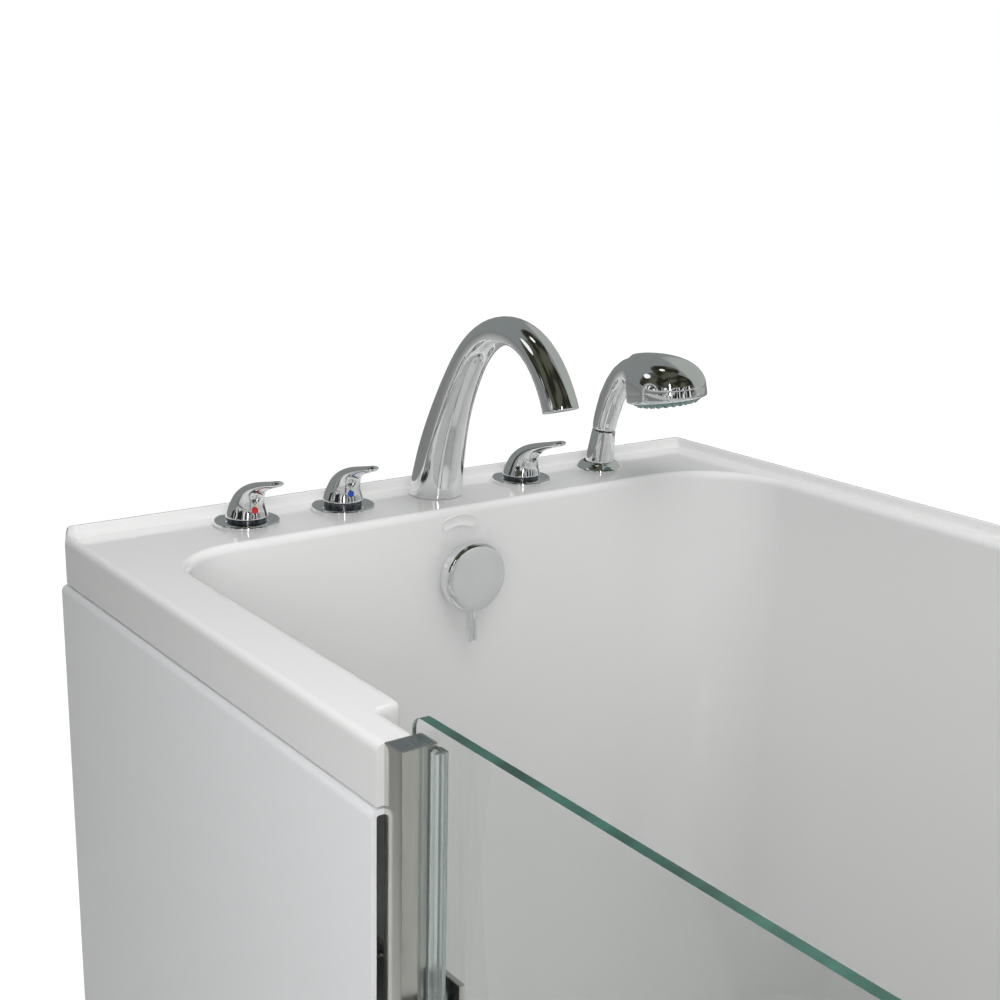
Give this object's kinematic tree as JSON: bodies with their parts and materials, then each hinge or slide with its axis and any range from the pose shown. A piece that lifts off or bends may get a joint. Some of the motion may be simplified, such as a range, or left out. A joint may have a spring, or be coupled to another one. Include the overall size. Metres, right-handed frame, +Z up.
{
  "type": "walk-in bathtub with door",
  "caption": "Walk-in bathtub with a seat, an inward-opening glass door, deck-mounted lever taps with spout and hand shower, and a knob-worked waste.",
  "frame": {"origin": "on the floor, at the middle of the tub's length and width", "axes": "+X along the tub from the tap end to the seat end, +Y from the door side to the back wall, +Z up"},
  "size_m": [1.524, 0.766, 1.168],
  "materials": {
    "acrylic": "gloss",
    "apron_acrylic": "gloss",
    "stainless": "brushed",
    "fastener_steel": "satin",
    "frame_steel": "galvanised",
    "polished_chrome": "polished",
    "clear_glass": "clear, green at the edges",
    "pale_seal": "translucent",
    "black_rubber": "matt",
    "tap_brass": "as machined",
    "copper_tube": "drawn",
    "dark_plastic": "matt",
    "waste_plastic": "matt",
    "spray_plastic": "satin",
    "outlet_plastic": "satin",
    "hot_red": "gloss",
    "cold_blue": "gloss",
    "ply": "raw",
    "pad_plastic": "matt"
  },
  "bodies": {
    "tub": {"tub_shell": "acrylic", "front_apron": "apron_acrylic", "apron_clips": "frame_steel", "base_board": "ply", "base_rails": "frame_steel", "base_crossbars": "frame_steel", "frame_uprights": "frame_steel", "seat_beam": "frame_steel", "foot_studs": "fastener_steel", "foot_pads": "pad_plastic", "foot_locknuts": "fastener_steel", "door_frame": "stainless", "post_caps": "stainless", "door_gasket": "pale_seal", "hinge_brackets": "stainless", "hinge_pins": "fastener_steel", "bracket_screws": "fastener_steel", "latch_keeper": "stainless", "keeper_backing": "stainless", "hot_escutcheon": "polished_chrome", "cold_escutcheon": "polished_chrome", "diverter_escutcheon": "polished_chrome", "hot_valve": "tap_brass", "cold_valve": "tap_brass", "diverter_valve": "tap_brass", "valve_nuts": "tap_brass", "handle_rings": "dark_plastic", "mixer_tubes": "copper_tube", "spout_tube": "copper_tube", "spout_body": "polished_chrome", "spout_outlet": "outlet_plastic", "spout_shank": "tap_brass", "spout_nut": "tap_brass", "shower_flange": "polished_chrome", "shower_holder": "polished_chrome", "shower_guide": "tap_brass", "shower_nut": "tap_brass", "overflow_ring": "polished_chrome", "overflow_gasket": "black_rubber", "overflow_elbow": "waste_plastic", "overflow_pipe": "waste_plastic", "drain_flange": "polished_chrome", "drain_shoe": "waste_plastic", "waste_tee": "waste_plastic"},
    "door": {"door_glass": "clear_glass", "hinge_leaves": "stainless", "hinge_bolts": "fastener_steel", "latch_base": "polished_chrome"},
    "latch": {"latch_lever": "polished_chrome"},
    "hot_handle": {"hot_lever": "polished_chrome", "hot_index": "hot_red"},
    "cold_handle": {"cold_lever": "polished_chrome", "cold_index": "cold_blue"},
    "diverter_handle": {"diverter_lever": "polished_chrome"},
    "shower": {"hand_shower": "polished_chrome", "shower_face": "spray_plastic", "shower_inlet": "fastener_steel"},
    "overflow_handle": {"overflow_knob": "polished_chrome"},
    "stopper": {"drain_stopper": "polished_chrome"}
  },
  "joints": [
    {"name": "door_swing", "type": "hinge", "parent": "tub", "child": "door", "pos_m": [-0.231, -0.33, 0.545], "axis": [0, 0, 1], "range_deg": [0, 120]},
    {"name": "latch_turn", "type": "hinge", "parent": "door", "child": "latch", "pos_m": [0.223, -0.33, 0.64], "axis": [0, 1, 0], "range_deg": [0, 90]},
    {"name": "hot_turn", "type": "hinge", "parent": "tub", "child": "hot_handle", "pos_m": [-0.714, -0.2158, 0.985], "axis": [0, 0, 1], "range_deg": [-90, 0]},
    {"name": "cold_turn", "type": "hinge", "parent": "tub", "child": "cold_handle", "pos_m": [-0.714, -0.1097, 0.985], "axis": [0, 0, 1], "range_deg": [0, 90]},
    {"name": "diverter_turn", "type": "hinge", "parent": "tub", "child": "diverter_handle", "pos_m": [-0.714, 0.1124, 0.985], "axis": [0, 0, 1], "range_deg": [0, 90]},
    {"name": "shower_lift", "type": "slide", "parent": "tub", "child": "shower", "axis": [0.1103, 0.0255, 0.9936], "range_m": [0, 0.25]},
    {"name": "overflow_turn", "type": "hinge", "parent": "tub", "child": "overflow_handle", "pos_m": [-0.645, 0.003, 0.893], "axis": [1, 0, 0], "range_deg": [0, 90]},
    {"name": "stopper_lift", "type": "slide", "parent": "tub", "child": "stopper", "axis": [0, 0, 1], "range_m": [0, 0.01]}
  ],
  "couplings": [
    {"joint": "stopper_lift", "follows": "overflow_turn", "m_per_rad": 0.00636}
  ]
}
